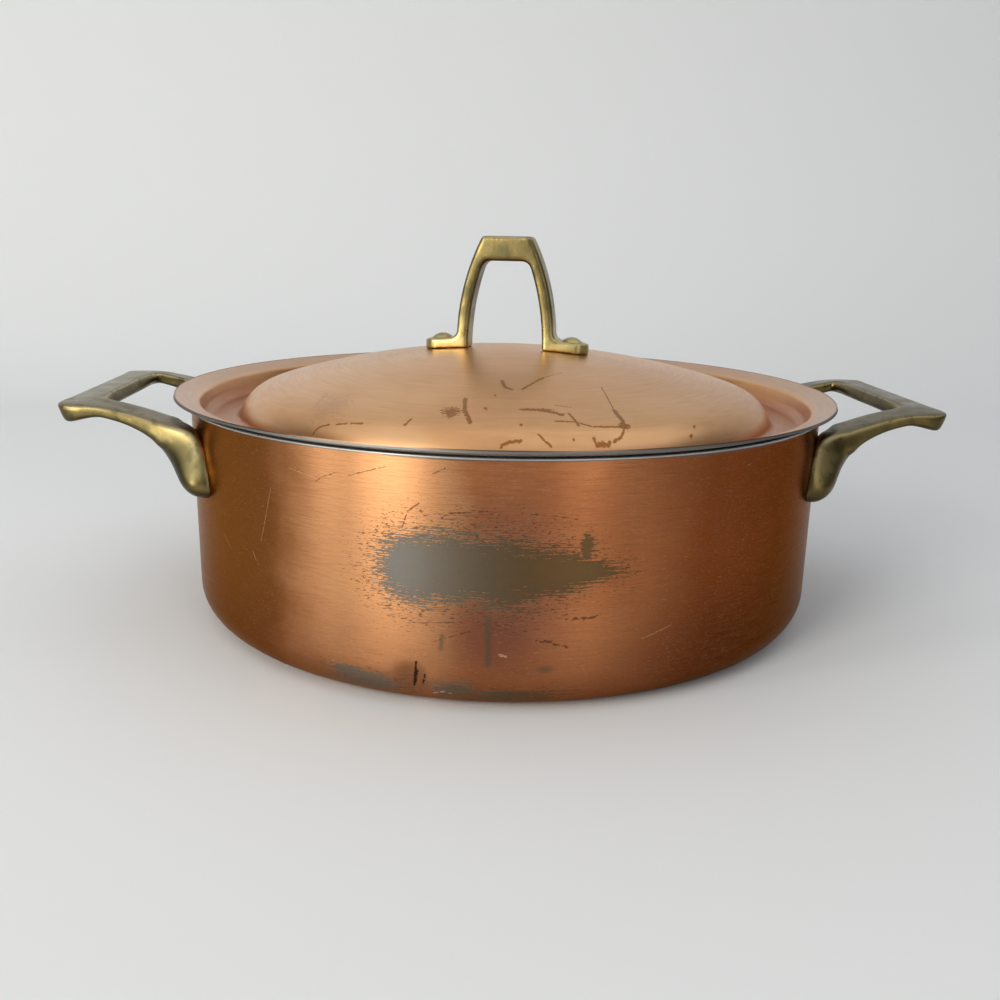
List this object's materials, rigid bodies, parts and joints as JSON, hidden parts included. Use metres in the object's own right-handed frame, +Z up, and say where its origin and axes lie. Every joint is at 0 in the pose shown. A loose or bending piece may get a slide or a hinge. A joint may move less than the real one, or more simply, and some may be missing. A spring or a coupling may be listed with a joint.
{
  "type": "casserole with lid",
  "caption": "Round shallow cooking pot, copper outside and steel inside, with a domed lift-off lid, cast brass side handles and a brass lid handle.",
  "frame": {"origin": "centre of the pot's underside, on the surface that the pot stands on", "axes": "+Z up along the pot's axis; the two pot handles lie on the X axis; -Y faces the viewer"},
  "size_m": [0.3022, 0.2396, 0.1349],
  "materials": {
    "copper": "fine-brushed copper, worn through to steel at the front",
    "steel": "satin stainless steel",
    "brass": "aged cast brass"
  },
  "bodies": {
    "pot": {"pot_copper_shell": "copper", "pot_steel_liner": "steel", "left_handle": "brass", "right_handle": "brass", "pot_rivets": "steel"},
    "lid": {"lid_copper_shell": "copper", "lid_steel_liner": "steel", "lid_handle": "brass", "lid_rivets": "brass"}
  },
  "joints": [
    {"name": "lid_lift", "type": "slide", "parent": "pot", "child": "lid", "axis": [0, 0, 1], "range_m": [0, 0.15]}
  ]
}
